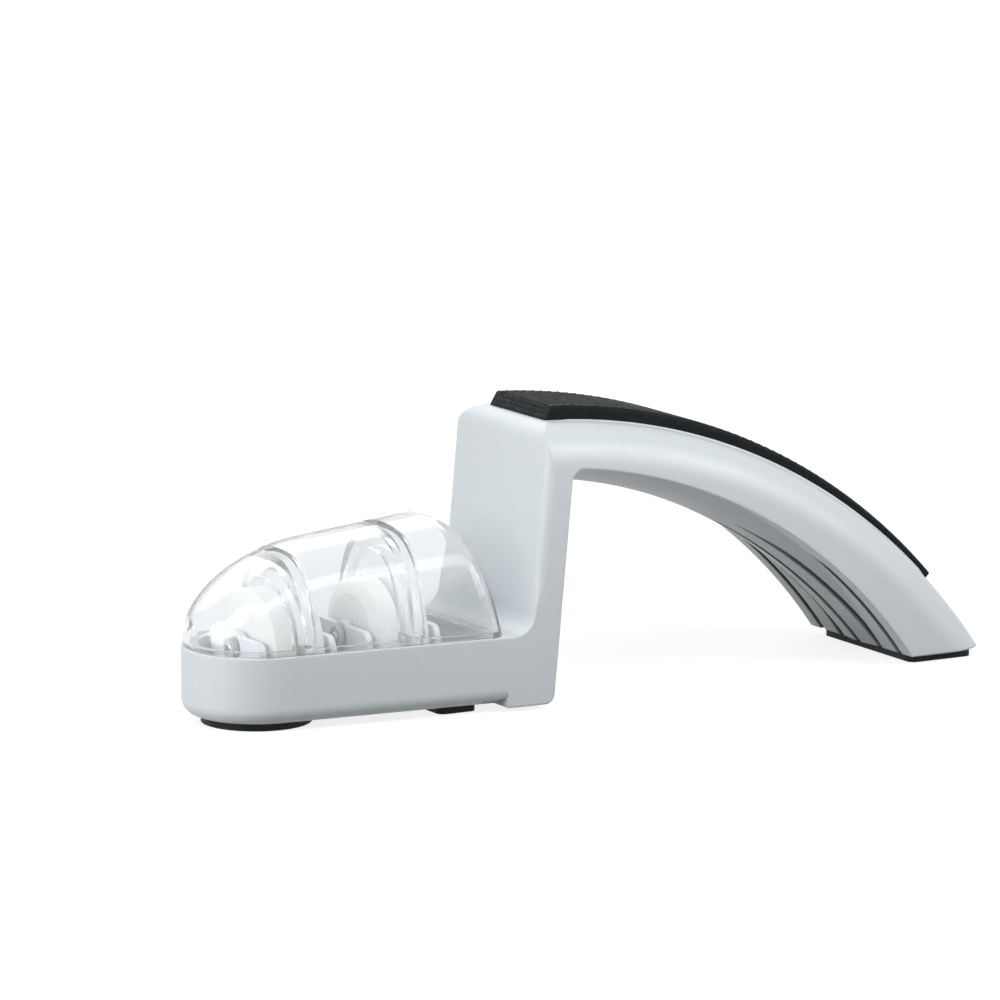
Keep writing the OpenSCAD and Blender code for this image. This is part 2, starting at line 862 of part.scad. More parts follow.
// Spacer that keeps the two wheels apart
module spacer(x) {
    color(steel)
        on_axle(x)
            difference() {
                cylinder(r = spacer_radius, h = spacer_thickness, center = true);
                cylinder(r = axle_radius, h = 2 * spacer_thickness, center = true);
            }
}

// Collar on each end of an axle, which keeps it in its bushes
module collars(x) {
    color(steel)
        for (side = [-1, 1])
            on_axle(x, side)
                translate([0, 0, collar_inner])
                    difference() {
                        cylinder(r = collar_radius, h = collar_length);
                        translate([0, 0, -cut])
                            cylinder(r = axle_radius, h = collar_length + 2 * cut);
                    }
}

body_shell();
grip_pad();
handle_foot_pad();
nose_foot();
rear_foot();
clear_cover();
cradle(first_slot_x);  // coarse_cradle
bush(first_slot_x, -1);  // coarse_bush_front
bush(first_slot_x, 1);  // coarse_bush_rear
axle(first_slot_x);  // coarse_axle
wheel(first_slot_x, -1);  // coarse_wheel_front
wheel(first_slot_x, 1);  // coarse_wheel_rear
spacer(first_slot_x);  // coarse_spacer
collars(first_slot_x);  // coarse_collars
cradle(second_slot_x);  // fine_cradle
bush(second_slot_x, -1);  // fine_bush_front
bush(second_slot_x, 1);  // fine_bush_rear
axle(second_slot_x);  // fine_axle
wheel(second_slot_x, -1);  // fine_wheel_front
wheel(second_slot_x, 1);  // fine_wheel_rear
spacer(second_slot_x);  // fine_spacer
collars(second_slot_x);  // fine_collars
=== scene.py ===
"""Looks of a water wheel knife sharpener: its finishes, clear cover, studio and camera."""
import logging
import math
from dataclasses import dataclass, field, replace
from enum import Enum
from functools import cached_property
from typing import Any

import bpy
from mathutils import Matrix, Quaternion, Vector
from mathutils.bvhtree import BVHTree


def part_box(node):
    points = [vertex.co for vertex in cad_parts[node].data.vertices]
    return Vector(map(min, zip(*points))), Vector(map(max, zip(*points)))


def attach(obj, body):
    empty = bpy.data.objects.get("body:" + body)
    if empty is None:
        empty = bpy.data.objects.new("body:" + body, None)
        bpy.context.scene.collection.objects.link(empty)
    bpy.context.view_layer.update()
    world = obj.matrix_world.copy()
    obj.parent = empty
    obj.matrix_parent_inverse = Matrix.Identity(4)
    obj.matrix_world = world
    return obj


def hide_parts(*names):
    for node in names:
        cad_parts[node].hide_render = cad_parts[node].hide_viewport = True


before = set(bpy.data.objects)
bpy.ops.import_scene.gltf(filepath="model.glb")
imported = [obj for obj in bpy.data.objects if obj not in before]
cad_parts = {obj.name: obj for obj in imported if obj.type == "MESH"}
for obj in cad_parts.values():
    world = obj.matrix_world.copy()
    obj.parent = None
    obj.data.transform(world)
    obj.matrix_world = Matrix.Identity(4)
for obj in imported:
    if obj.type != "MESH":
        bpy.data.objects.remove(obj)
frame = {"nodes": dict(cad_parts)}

LOG = logging.getLogger("sharpener")
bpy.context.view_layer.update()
MM = 0.001

Colour = tuple[float, float, float]
Point = tuple[float, float, float]
Flat = tuple[float, float]
Face = tuple[int, ...]
Socket = bpy.types.NodeSocket


class Grade(Enum):
    """The two wheel pairs, named after their grit."""

    COARSE = "coarse"
    FINE = "fine"


class End(Enum):
    """The two ends of an axle."""

    FRONT = "front"
    REAR = "rear"


class Joining(Enum):
    """The ways in which one closed form meets another."""

    ADD = "UNION"
    TAKE = "DIFFERENCE"
    SHARE = "INTERSECT"


class Axis(Enum):
    """The ways in which a straight body can run.

    Each holds which of an outline's two values (0 and 1) and of the run (2) gives x, y and z.
    """

    X = (2, 0, 1)
    Y = (1, 2, 0)
    Z = (0, 1, 2)


@dataclass(frozen=True)
class Pattern:
    """A noise, in waves to the metre and octaves, and the range onto which it is mapped."""

    scale: float
    detail: float
    low: float
    high: float
    start: float
    stop: float


@dataclass(frozen=True)
class Grain:
    """A noise, in waves to the metre and octaves, that stands out as a fine relief."""

    scale: float
    detail: float
    depth: float
    strength: float


class Tree:
    """A node tree, with short ways to add and join its nodes."""

    # Rays of a lower diffuse depth have met no matt surface.
    FIRST_BOUNCE = 0.5

    def __init__(self, tree: bpy.types.NodeTree) -> None:
        """Takes over a tree."""
        self.tree = tree

    def add(self, kind: str, **settings: Any) -> bpy.types.Node:
        """Adds a node.

        Args:
            kind: Blender's name of the node type.
            **settings: Attributes to set on the node.

        Returns:
            The new node.
        """
        node = self.tree.nodes.new(kind)
        for key, value in settings.items():
            setattr(node, key, value)
        return node

    def join(self, source: Socket, target: Socket) -> None:
        """Links an output to an input."""
        self.tree.links.new(source, target)

    def span(self, source: Socket, low: float, high: float, start: float, stop: float,
             curve: str = "LINEAR") -> Socket:
        """Maps a value from one range to another.

        Args:
            source: The value to map.
            low: Lower end of the range that is read.
            high: Upper end of that range.
            start: Result at the lower end.
            stop: Result at the upper end.
            curve: Blender's name of the way between the two.

        Returns:
            The mapped value.
        """
        node = self.add("ShaderNodeMapRange", clamp=True, interpolation_type=curve)
        ends = (("From Min", low), ("From Max", high), ("To Min", start), ("To Max", stop))
        for name, value in ends:
            node.inputs[name].default_value = value
        self.join(source, node.inputs["Value"])
        return node.outputs["Result"]

    def math(self, operation: str, first: Socket, second: Socket | float) -> Socket:
        """Works out one sum of two values.

        Args:
            operation: Blender's name of the sum.
            first: The first value.
            second: The second value, or a plain number.

        Returns:
            The result.
        """
        node = self.add("ShaderNodeMath", operation=operation)
        self.join(first, node.inputs[0])
        if isinstance(second, (int, float)):
            node.inputs[1].default_value = second
        else:
            self.join(second, node.inputs[1])
        return node.outputs["Value"]

    def seen_directly(self) -> Socket:
        """Whether a ray comes from the camera, a gloss or a clear piece, past no matt surface.

        Returns:
            1 for such a ray and 0 for others.
        """
        path = self.add("ShaderNodeLightPath")
        total = path.outputs["Is Camera Ray"]
        for ray in ("Is Glossy Ray", "Is Transmission Ray"):
            total = self.math("MAXIMUM", total, path.outputs[ray])
        fresh = self.math("LESS_THAN", path.outputs["Diffuse Depth"], self.FIRST_BOUNCE)
        return self.math("MULTIPLY", total, fresh)


class Sheet(Tree):
    """The node tree of one material, built round a Principled shader."""

    EDGE_SAMPLES = 6
    # How far the rounded normal agrees with the flat one at an edge and beside it.
    EDGE_AGREES = (0.75, 0.995)
    HOLLOW_SAMPLES = 8
    # How open a point is at the bottom of a hollow and outside it.
    HOLLOW_OPEN = (0.5, 0.94)
    HOLLOW_MOST = 0.95
    # Places of the two colours and of the result on a colour mix, whose sockets share names.
    MIX_COLOURS = (6, 7)
    MIX_RESULT = 2

    def __init__(self, name: str) -> None:
        """Starts a tree that has only an output and a Principled shader.

        Args:
            name: The material's name.
        """
        self.material = bpy.data.materials.new(name)
        self.material.use_nodes = True
        super().__init__(self.material.node_tree)
        self.tree.nodes.clear()
        self.output = self.add("ShaderNodeOutputMaterial")
        self.shader = self.add("ShaderNodeBsdfPrincipled")
        self.join(self.shader.outputs["BSDF"], self.output.inputs["Surface"])
        self.place = self.add("ShaderNodeTexCoord").outputs["Object"]

    def set(self, **values: Any) -> None:
        """Sets the shader's own sockets; an underscore in a name stands for a space."""
        for key, value in values.items():
            self.shader.inputs[key.replace("_", " ")].default_value = value

    def feed(self, **sources: Socket) -> None:
        """Links outputs to the shader's own sockets; an underscore stands for a space."""
        for key, source in sources.items():
            self.join(source, self.shader.inputs[key.replace("_", " ")])

    def noise(self, scale: float, detail: float, stretch: Point = (1, 1, 1)) -> Socket:
        """A noise in the object's own place.

        Args:
            scale: Waves to the metre.
            detail: Octaves of finer noise.
            stretch: Scale along each axis before the noise is read.

        Returns:
            The noise's value from 0 to 1.
        """
        mapping = self.add("ShaderNodeMapping")
        mapping.inputs["Scale"].default_value = stretch
        self.join(self.place, mapping.inputs["Vector"])
        noise = self.add("ShaderNodeTexNoise")
        noise.inputs["Scale"].default_value = scale
        noise.inputs["Detail"].default_value = detail
        self.join(mapping.outputs["Vector"], noise.inputs["Vector"])
        return noise.outputs["Fac"]

    def spread(self, pattern: Pattern) -> Socket:
        """Lays a pattern over the surface.

        Args:
            pattern: The noise and its range.

        Returns:
            The mapped noise.
        """
        noise = self.noise(pattern.scale, pattern.detail)
        return self.span(noise, pattern.low, pattern.high, pattern.start, pattern.stop)

    def blend(self, share: Socket, low: Any, high: Any) -> Socket:
        """Blends two colours.

        Args:
            share: 0 gives the first colour and 1 the second.
            low: The first colour, or a socket that gives it.
            high: The second colour, or a socket that gives it.

        Returns:
            The blended colour.
        """
        node = self.add("ShaderNodeMix", data_type="RGBA")
        self.join(share, node.inputs["Factor"])
        for k, value in zip(self.MIX_COLOURS, (low, high)):
            if isinstance(value, tuple):
                node.inputs[k].default_value = (*value, 1.0)
            else:
                self.join(value, node.inputs[k])
        return node.outputs[self.MIX_RESULT]

    def relief(self, height: Socket, depth: float, strength: float,
               normal: Socket | None = None) -> Socket:
        """Turns a height into a bumped normal.

        Args:
            height: The height, from 0 to 1.
            depth: Metres that a height of 1 stands for.
            strength: Share of the bump that is kept.
            normal: A normal to start from.

        Returns:
            The bumped normal.
        """
        node = self.add("ShaderNodeBump")
        node.inputs["Strength"].default_value = strength
        node.inputs["Distance"].default_value = depth
        self.join(height, node.inputs["Height"])
        if normal is not None:
            self.join(normal, node.inputs["Normal"])
        return node.outputs["Normal"]

    def roughen(self, grain: Grain, normal: Socket | None = None) -> Socket:
        """Gives the surface a grain.

        Args:
            grain: The noise and its depth.
            normal: A normal to start from.

        Returns:
            The bumped normal.
        """
        noise = self.noise(grain.scale, grain.detail)
        return self.relief(noise, grain.depth, grain.strength, normal)

    def soft_edge(self, radius: float) -> Socket:
        """Rounds the sharp edges for the light, as a mould does.

        Args:
            radius: Radius of the rounding in metres.

        Returns:
            The rounded normal.
        """
        node = self.add("ShaderNodeBevel", samples=self.EDGE_SAMPLES)
        node.inputs["Radius"].default_value = radius
        return node.outputs["Normal"]

    def edge_share(self, soft: Socket) -> Socket:
        """How near a point lies to an edge.

        Args:
            soft: The rounded normal.

        Returns:
            0 on a flat and up to 1 at an edge.
        """
        flat = self.add("ShaderNodeNewGeometry").outputs["Normal"]
        dot = self.add("ShaderNodeVectorMath", operation="DOT_PRODUCT")
        self.join(soft, dot.inputs[0])
        self.join(flat, dot.inputs[1])
        return self.span(dot.outputs["Value"], *self.EDGE_AGREES, 1.0, 0.0)

    def painted_shade_share(self, reach: float, start: float) -> Socket:
        """How deep a point lies in a narrow hollow, which takes painted shade.

        Args:
            reach: Width of the hollows that count, in metres.
            start: Place along the object's length at which they begin.

        Returns:
            0 in the open and nearly 1 at the bottom of a groove.
        """
        node = self.add("ShaderNodeAmbientOcclusion", samples=self.HOLLOW_SAMPLES, only_local=True)
        node.inputs["Distance"].default_value = reach
        depth = self.span(node.outputs["AO"], *self.HOLLOW_OPEN, self.HOLLOW_MOST, 0.0)
        axes = self.add("ShaderNodeSeparateXYZ")
        self.join(self.place, axes.inputs["Vector"])
        beyond = self.span(axes.outputs["X"], start, start + reach, 0.0, 1.0)
        return self.math("MULTIPLY", depth, beyond)

    def let_lamps_through(self, share: float) -> None:
        """Lets the lamps reach what lies behind a clear piece.

        Args:
            share: Share of a lamp's light that passes.
        """
        open_way = self.add("ShaderNodeBsdfTransparent")
        open_way.inputs["Color"].default_value = (share, share, share, 1.0)
        mix = self.add("ShaderNodeMixShader")
        self.join(self.add("ShaderNodeLightPath").outputs["Is Shadow Ray"], mix.inputs["Fac"])
        self.join(self.shader.outputs["BSDF"], mix.inputs[1])
        self.join(open_way.outputs["BSDF"], mix.inputs[2])
        self.join(mix.outputs["Shader"], self.output.inputs["Surface"])


@dataclass(frozen=True)
class SatinMoulding:
    """Satin moulded plastic with a fine grain, a faint speckle, paler worn edges and, where a shade
    colour is given, painted shade in its narrow hollows.
    """

    name: str
    colour: Colour
    fleck: Colour
    worn: Colour
    roughness: float = 0.42
    edge: float = 0.0009
    # Colour of the painted shade in narrow hollows; None leaves them unshaded.
    painted_shade: Colour | None = None
    painted_shade_reach: float = 0.0035
    painted_shade_start: float = -0.015
    flecks: Pattern = Pattern(1500, 3, 0.58, 0.72, 0.0, 0.4)
    patches: Pattern = Pattern(90, 4, 0.45, 0.7, 0.0, 0.5)
    unevenness: Pattern = Pattern(60, 4, 0.3, 0.7, -0.05, 0.06)
    grain: Grain = Grain(2600, 3, 0.00004, 0.6)

    def material(self) -> bpy.types.Material:
        """Makes the finish.

        Returns:
            The material.
        """
        sheet = Sheet(self.name)
        tone = sheet.blend(sheet.spread(self.flecks), self.colour, self.fleck)
        # Painted shade: ambient occlusion darkens the narrow hollows, such as the handle's grooves,
        # towards the shade colour.
        if self.painted_shade:
            painted_shade_mask = sheet.painted_shade_share(self.painted_shade_reach, self.painted_shade_start)
            tone = sheet.blend(painted_shade_mask, tone, self.painted_shade)
        soft = sheet.soft_edge(self.edge)
        wear = sheet.math("MULTIPLY", sheet.edge_share(soft), sheet.spread(self.patches))
        rough = replace(self.unevenness, start=self.roughness + self.unevenness.start,
                        stop=self.roughness + self.unevenness.stop)
        sheet.feed(Base_Color=sheet.blend(wear, tone, self.worn), Roughness=sheet.spread(rough),
                   Normal=sheet.roughen(self.grain, soft))
        return sheet.material


@dataclass(frozen=True)
class SoftRubber:
    """Black rubber with a dull bloom and a little dust."""

    name: str
    colour: Colour
    dust: Colour
    shine: float
    edge: float = 0.0004
    dusting: Pattern = Pattern(420, 5, 0.45, 0.75, 0.0, 0.7)
    roughness: Pattern = Pattern(300, 3, 0.3, 0.7, 0.44, 0.6)
    grain: Grain = Grain(3200, 2, 0.00003, 0.7)

    def material(self) -> bpy.types.Material:
        """Makes the finish.

        Returns:
            The material.
        """
        sheet = Sheet(self.name)
        sheet.set(Specular_IOR_Level=self.shine)
        sheet.feed(Base_Color=sheet.blend(sheet.spread(self.dusting), self.colour, self.dust),
                   Roughness=sheet.spread(self.roughness),
                   Normal=sheet.roughen(self.grain, sheet.soft_edge(self.edge)))
        return sheet.material


@dataclass(frozen=True)
class ClearPlastic:
    """Polished clear plastic with the faint waves of its moulding and the thin veil of use."""

    name: str
    colour: Colour = (0.90, 0.917, 0.927)
    bending: float = 1.36
    passing: float = 0.85
    clearness: float = 0.9
    haze: Pattern = Pattern(140, 4, 0.35, 0.75, 0.012, 0.05)
    waves: Grain = Grain(38, 1, 0.0004, 0.2)

    def material(self) -> bpy.types.Material:
        """Makes the finish.

        Returns:
            The material.
        """
        sheet = Sheet(self.name)
        sheet.set(Base_Color=(*self.colour, 1.0), Transmission_Weight=self.clearness,
                  IOR=self.bending)
        sheet.feed(Roughness=sheet.spread(self.haze), Normal=sheet.roughen(self.waves))
        sheet.let_lamps_through(self.passing)
        return sheet.material


@dataclass(frozen=True)
class FiredCeramic:
    """White fired ceramic with a sandy grain and faint grey marks of use."""

    name: str
    colour: Colour
    mark: Colour
    grain: Grain
    edge: float = 0.0003
    marks: Pattern = Pattern(260, 5, 0.56, 0.8, 0.0, 0.6)
    roughness: Pattern = Pattern(900, 3, 0.3, 0.7, 0.5, 0.68)

    def material(self) -> bpy.types.Material:
        """Makes the finish.

        Returns:
            The material.
        """
        sheet = Sheet(self.name)
        sheet.feed(Base_Color=sheet.blend(sheet.spread(self.marks), self.colour, self.mark),
                   Roughness=sheet.spread(self.roughness),
                   Normal=sheet.roughen(self.grain, sheet.soft_edge(self.edge)))
        return sheet.material


@dataclass(frozen=True)
class GroundSteel:
    """Bright ground steel with fine marks round the bar."""

    name: str
    colour: Colour = (0.62, 0.63, 0.64)
    groove: Colour = (0.50, 0.51, 0.52)
    edge: float = 0.0002
    rings: Pattern = Pattern(900, 3, 0.3, 0.7, 0.18, 0.34)
    ring_stretch: Point = (4.0, 0.3, 0.3)
    ring_depth: float = 0.00002
    ring_strength: float = 0.5

    def material(self) -> bpy.types.Material:
        """Makes the finish.

        Returns:
            The material.
        """
        sheet = Sheet(self.name)
        sheet.set(Metallic=1.0)
        marks = self.rings
        rings = sheet.noise(marks.scale, marks.detail, self.ring_stretch)
        soft = sheet.soft_edge(self.edge)
        sheet.feed(Base_Color=sheet.blend(rings, self.colour, self.groove),
                   Roughness=sheet.span(rings, marks.low, marks.high, marks.start, marks.stop),
                   Normal=sheet.relief(rings, self.ring_depth, self.ring_strength, soft))
        return sheet.material


class Maker:
    """Turns lists of points into objects and joins closed forms."""

    @staticmethod
    def form(name: str, points: list[Point], faces: list[Face]) -> bpy.types.Object:
        """Makes an object from points in millimetres.

        Args:
            name: The object's name.
            points: Its corners.
            faces: Its faces, as places in the list of corners.

        Returns:
            The object, in the scene.
        """
        mesh = bpy.data.meshes.new(name)
        mesh.from_pydata([tuple(MM * value for value in point) for point in points], [], faces)
        made = bpy.data.objects.new(name, mesh)
        bpy.context.scene.collection.objects.link(made)
        return made

    @staticmethod
    def smooth(made: bpy.types.Object, crease: float) -> None:
        """Shades a form smoothly but for the edges that bend by more than an angle in degrees."""
        made.data.shade_smooth()
        made.data.set_sharp_from_angle(angle=math.radians(crease))

    @staticmethod
    def loft(sections: list[list[Point]], turned: bool, points: list[Point],
             faces: list[Face]) -> None:
        """Adds a closed body that runs through sections of equally many points.

        Args:
            sections: The sections, one after the other.
            turned: Whether the faces are to be turned round, so that they face outwards.
            points: The corners so far, which grow.
            faces: The faces so far, which grow.
        """
        first, count = len(points), len(sections[0])
        last = (len(sections) - 1) * count
        made: list[Face] = [tuple(range(count)), tuple(range(last + count - 1, last - 1, -1))]
        for i in range(len(sections) - 1):
            a, b = i * count, (i + 1) * count
            made += [(a + (k + 1) % count, a + k, b + k, b + (k + 1) % count) for k in range(count)]
        points += [point for section in sections for point in section]
        for face in made:
            faces.append(tuple(first + k for k in (face[::-1] if turned else face)))

    @staticmethod
    def combine(base: bpy.types.Object, tool: bpy.types.Object, how: Joining) -> bpy.types.Object:
        """Joins a second closed form to a first one, which takes its place.

        Args:
            base: The form that is kept.
            tool: The form that is used up.
            how: Whether it is added, taken away or shared.

        Returns:
            The kept form.
        """
        step = base.modifiers.new(how.name, "BOOLEAN")
        step.operation = how.value
        step.solver = "EXACT"
        step.object = tool
        bpy.context.view_layer.update()
        graph = bpy.context.evaluated_depsgraph_get()
        joined = bpy.data.meshes.new_from_object(base.evaluated_get(graph))
        base.modifiers.clear()
        used = [base.data, tool.data]
        base.data = joined
        bpy.data.objects.remove(tool)
        for mesh in used:
            bpy.data.meshes.remove(mesh)
        return base

    @staticmethod
    def prism(name: str, outline: list[Flat], low: float, high: float,
              along: Axis) -> bpy.types.Object:
        """Makes a straight body from an outline.

        Args:
            name: The object's name.
            outline: Corners of the outline, anticlockwise when seen against the axis.
            low: Where it starts along the axis.
            high: Where it ends.
            along: The way in which it runs.

        Returns:
            The object.
        """
        count = len(outline)
        corners = [(a, b, run) for run in (low, high) for a, b in outline]
        points = [tuple(corner[k] for k in along.value) for corner in corners]
        sides = [(i, (i + 1) % count, (i + 1) % count + count, i + count) for i in range(count)]
        caps = [tuple(range(count - 1, -1, -1)), tuple(range(count, 2 * count))]
        return Maker.form(name, points, caps + sides)


@dataclass
class Dress:
    """Gives solids of the frame their finish."""

    nodes: dict[str, bpy.types.Object] = field(default_factory=lambda: frame["nodes"])

    def put(self, material: bpy.types.Material, *names: str) -> None:
        """Lays one material on the solids with these names.

        Args:
            material: The finish.
            *names: The nodes that get it.
        """
        for name in names:
            slots = self.nodes[name].data.materials
            slots.clear()
            slots.append(material)
            LOG.info("%s has the finish %s", name, material.name)


@dataclass
class Base(Dress):
    """The moulded body with its rubber pad and feet. Sizes are in millimetres."""

    # The body's moulding gets near-black painted shade in the handle's grooves; the corner trim
    # gets none.
    shell: SatinMoulding = SatinMoulding("body_plastic", (0.655, 0.705, 0.73),
                                         (0.58, 0.63, 0.655), (0.72, 0.76, 0.78),
                                         painted_shade=(0.05, 0.052, 0.058))
    trim: SatinMoulding = replace(shell, name="corner_plastic", edge=0.00002, painted_shade=None)
    pad: SoftRubber = SoftRubber("grip_rubber", (0.008, 0.010, 0.011), (0.016, 0.019, 0.020),
                                 shine=0.08)
    studs: SoftRubber = SoftRubber("stud_rubber", (0.028, 0.031, 0.032), (0.085, 0.090, 0.094),
                                   shine=0.1)
    feet: SoftRubber = SoftRubber("foot_rubber", (0.010, 0.012, 0.014), (0.020, 0.023, 0.025),
                                  shine=0.18)
    stud_pitch: float = 1.7
    row_pitch: float = 1.45
    stud_radius: float = 0.56
    stud_height: float = 0.26
    stud_root: float = 0.1
    stud_shoulder: float = 0.82
    stud_shoulder_rise: float = 0.62
    stud_top: float = 0.45
    stud_sides: int = 8
    stud_margin: float = 1.5
    front_rows: int = 3
    front_pitch: float = 1.2
    front_inset: float = 0.75
    stud_facing: float = 0.3
    first_row: float = 0.9
    first_row_drop: float = 0.6
    clear_of: float = 5.0
    crease: float = 50.0
    lip_width: float = 0.9
    lip_front: float = 0.2
    lip_rear: float = 0.85
    lip_root: float = 0.3
    lip_ease: float = 4.0
    lip_steps: int = 90
    lip_arc: int = 10
    wall_x: float = -31.1
    wall_lean: float = 5.3
    wall_half: float = 27.9
    wall_round: float = 3.0
    rim: float = 22.0
    deck_round: float = 6.6
    corner_run: float = 15.0
    corner_drop: float = 3.0
    corner_reach: float = 4.5
    corner_depth: float = 0.8
    corner_sharp: float = 0.3
    corner_skin: float = 0.02
    corner_sink: float = 0.06
    corner_steps: int = 12
    corner_levels: int = 36

    @cached_property
    def pad_box(self) -> tuple[Vector, Vector]:
        """The lower and the upper corner of the pad's box."""
        low, high = (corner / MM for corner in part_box("grip_pad"))
        return low, high

    def stud(self, place: Vector, out: Vector, points: list[Point], faces: list[Face]) -> None:
        """Adds one low round stud with a flattened top.

        Args:
            place: The stud's middle on the pad, in millimetres.
            out: The way that the pad faces there.
            points: The corners so far, which grow.
            faces: The faces so far, which grow.
        """
        across = out.orthogonal().normalized()
        beside = out.cross(across)
        first = len(points)
        sides = self.stud_sides
        rings = ((1.0, -self.stud_root),
                 (self.stud_shoulder, self.stud_shoulder_rise * self.stud_height),
                 (self.stud_top, self.stud_height))
        for share, height in rings:
            for k in range(sides):
                turn = 2 * math.pi * k / sides
                way = math.cos(turn) * across + math.sin(turn) * beside
                points.append(tuple(place + share * self.stud_radius * way + height * out))
        for ring in range(len(rings) - 1):
            start = first + ring * sides
            for k in range(sides):
                after = (k + 1) % sides
                faces.append((start + k, start + after,
                              start + sides + after, start + sides + k))
        faces.append(tuple(first + k for k in range(sides - 1, -1, -1)))
        faces.append(tuple(first + (len(rings) - 1) * sides + k for k in range(sides)))

    def surface(self, name: str) -> BVHTree:
        """Reads the surface of one of the frame's solids, for rays.

        Args:
            name: The solid's node.

        Returns:
            The surface in millimetres.
        """
        mesh = self.nodes[name].data
        return BVHTree.FromPolygons([vertex.co / MM for vertex in mesh.vertices],
                                    [tuple(face.vertices) for face in mesh.polygons])

    def stud_row(self, surface: BVHTree, start: Vector, way: Vector, shifted: bool,
                 points: list[Point], faces: list[Face]) -> Vector | None:
        """Lays one row of studs across the pad.

        Args:
            surface: The pad's surface.
            start: A point outside the pad from which the row is cast onto it.
            way: The way in which it is cast.
            shifted: Whether the row is half a stud out of line.
            points: The corners so far, which grow.
            faces: The faces so far, which grow.

        Returns:
            The way that the pad faces there, or None where it has ended.
        """
        half = self.pad_box[1].y - self.stud_margin
        count = int(half / self.stud_pitch)
        facing = None
        for k in range(-count, count + 1):
            y = (k + (0.5 if shifted else 0.0)) * self.stud_pitch
            if abs(y) > half:
                continue
            hit, out, _, _ = surface.ray_cast(Vector((start.x, y, start.z)), way)
            if hit is None:
                continue
            if out.dot(way) > -self.stud_facing or abs(out.y) > self.stud_facing:
                continue
            self.stud(hit, out, points, faces)
            facing = out
        return facing

    def pad_studs(self) -> bpy.types.Object:
        """Builds the rows of studs on the pad's top and on its front end.

        Returns:
            The studs as one piece.
        """
        surface = self.surface("grip_pad")
        low, high = self.pad_box
        ahead = low.x - self.clear_of
        points: list[Point] = []
        faces: list[Face] = []
        back, down = Vector((1, 0, 0)), Vector((0, 0, -1))
        shifted = False
        for step in range(self.front_rows):
            level = high.z - self.front_inset - step * self.front_pitch
            self.stud_row(surface, Vector((ahead, 0, level)), back, shifted, points, faces)
            shifted = not shifted
        first = Vector((ahead, 0, high.z - self.first_row_drop))
        front, _, _, _ = surface.ray_cast(first, back)
        x = front.x + self.first_row
        while x < high.x - self.stud_margin:
            start = Vector((x, 0, high.z + self.clear_of))
            facing = self.stud_row(surface, start, down, shifted, points, faces)
            shifted = not shifted
            x += self.row_pitch * (facing.z if facing else 1.0)
        studs = Maker.form("grip_studs", points, faces)
        Maker.smooth(studs, self.crease)
        studs.data.materials.append(self.studs.material())
        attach(studs, "base")
        LOG.info("grip_studs has %d faces", len(faces))
        return studs

    def lip_section(self, hit: Vector, out: Vector, side: int, height: float) -> list[Point]:
        """Points round one section of the low lip beside the pad.

        Args:
            hit: The section's middle on the handle.
            out: The way that the handle faces there.
            side: 1 for the left lip and -1 for the right one.
            height: Height of the lip there.

        Returns:
            The points, over the lip and back inside the handle.
        """
        half = self.lip_width / 2
        across = Vector((0, side, 0))
        turns = [math.pi * i / self.lip_arc for i in range(self.lip_arc + 1)]
        flat = [(half * math.cos(t), height * math.sin(t)) for t in turns]
        flat += [(-half, -self.lip_root), (half, -self.lip_root)]
        return [tuple(hit + a * across + b * out) for a, b in flat]

    def pad_lips(self, finish: bpy.types.Material) -> bpy.types.Object:
        """Builds the two low lips of the handle along the pad, which rise to its lower end.

        Args:
            finish: The material of the lips.

        Returns:
            Both lips as one piece.
        """
        surface = self.surface("body_shell")
        low, high = self.pad_box
        start, stop = low.x + self.lip_ease, high.x - self.lip_width
        above, down = high.z + self.clear_of, Vector((0, 0, -1))
        points: list[Point] = []
        faces: list[Face] = []
        for side in (-1, 1):
            middle = side * (high.y + self.lip_width / 2)
            sections = []
            for i in range(self.lip_steps + 1):
                share = i / self.lip_steps
                run = share * (stop - start)
                hit, out, _, _ = surface.ray_cast(Vector((start + run, middle, above)), down)
                ends = min(1.0, run / self.lip_ease, (stop - start - run) / self.lip_ease)
                height = (self.lip_front + (self.lip_rear - self.lip_front) * share) * ends
                level = Vector((out.x, 0, out.z)).normalized()
                sections.append(self.lip_section(hit, level, side, height))
            Maker.loft(sections, side > 0, points, faces)
        lips = Maker.form("pad_lips", points, faces)
        Maker.smooth(lips, self.crease)
        lips.data.materials.append(finish)
        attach(lips, "base")
        LOG.info("pad_lips has %d faces", len(faces))
        return lips

    def corner_section(self, height: float, side: int) -> list[Point]:
        """Points round one level section of a wall corner, which gets rounder higher up.

        Args:
            height: Distance up the wall's front edge from the end of the deck's rounding.
            side: 1 for the left edge and -1 for the right one.

        Returns:
            The points, first along the outside and then back inside the wall.
        """
        share = min(1.0, max(0.0, height / (self.corner_run - self.corner_drop)))
        ease = share * share * (3 - 2 * share)
        r = self.corner_sharp + (self.wall_round - self.corner_sharp) * ease
        last = max(0.0, height - self.corner_run + self.corner_drop) / self.corner_drop
        skin = self.corner_skin - last * (self.corner_skin + self.corner_sink)
        reach, depth = self.corner_reach, self.corner_depth
        quarter = [math.pi / 2 * i / self.corner_steps for i in range(self.corner_steps + 1)]
        far = r + skin
        outside = [(-skin, -reach)]
        outside += [(r - far * math.cos(t), -r + far * math.sin(t)) for t in quarter]
        outside += [(reach, skin)]
        bend = reach - depth
        inside = [(reach - bend * math.sin(t), -reach + bend * math.cos(t)) for t in quarter]
        lean = math.radians(self.wall_lean)
        foot = self.rim + self.deck_round
        edge = self.wall_x + self.deck_round * math.tan(lean)
        return [(edge + height * math.sin(lean) + a * math.cos(lean), side * (self.wall_half + b),
                 foot + height * math.cos(lean) - a * math.sin(lean))
                for a, b in outside + inside]

